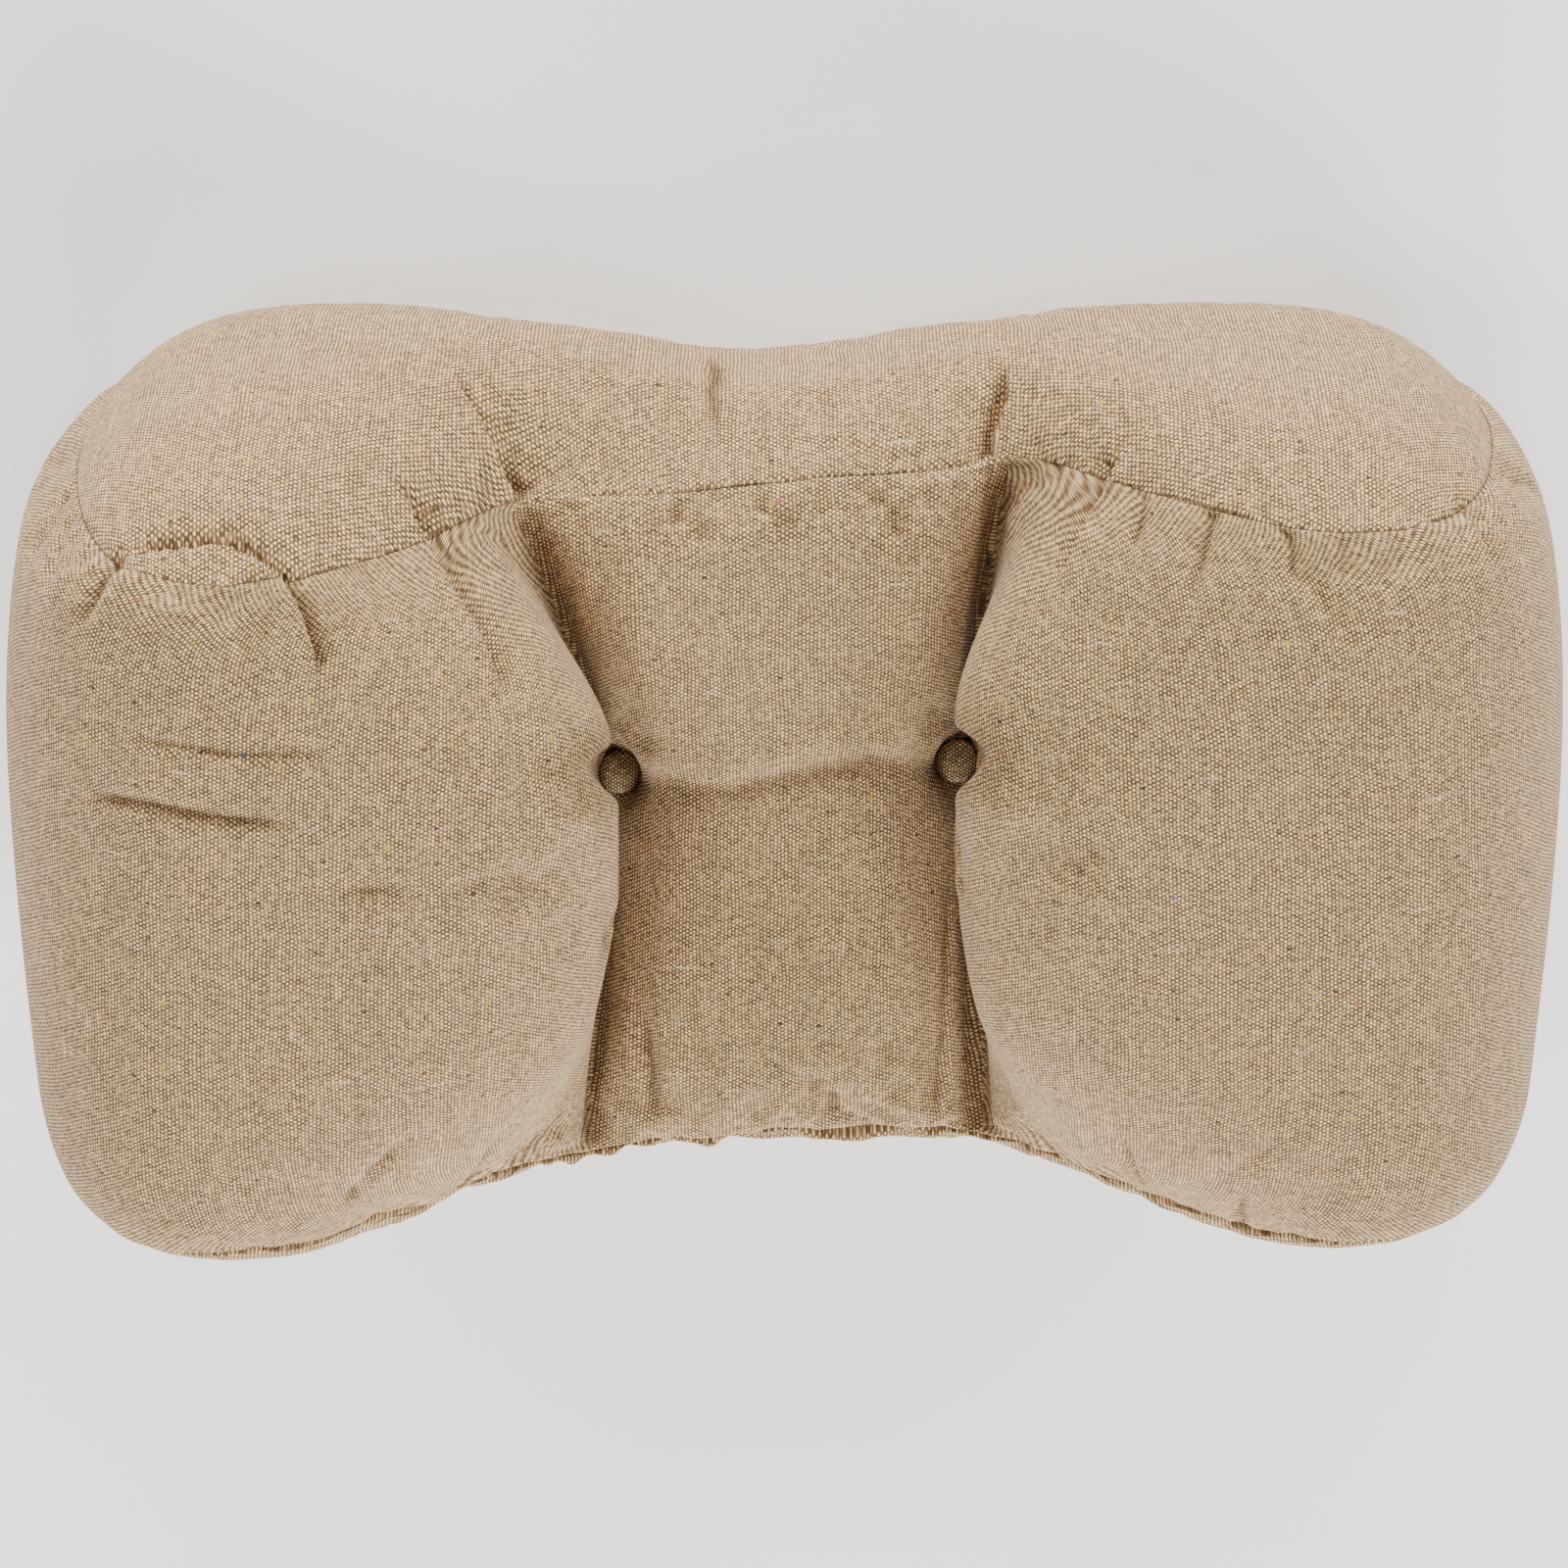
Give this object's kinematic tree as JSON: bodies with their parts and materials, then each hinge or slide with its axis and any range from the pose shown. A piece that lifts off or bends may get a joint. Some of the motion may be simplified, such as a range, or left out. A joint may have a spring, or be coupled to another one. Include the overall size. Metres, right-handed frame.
{
  "type": "lumbar cushion",
  "caption": "Stuffed canvas lumbar support cushion with full side lobes, a thin saddle between them and covered tufting buttons.",
  "frame": {"origin": "under the middle of the back, on the surface that the cushion lies on", "axes": "+X across the lobes, +Y towards the top panel, +Z out of the face that the user leans on"},
  "size_m": [0.4276, 0.2479, 0.1465],
  "materials": {
    "canvas": "matte plain-weave natural canvas with slubs and small coloured flecks",
    "button_canvas": "the same matte canvas stretched over a low dome"
  },
  "bodies": {
    "root": {"cushion": "canvas", "button_left": "button_canvas", "button_right": "button_canvas"}
  },
  "joints": []
}
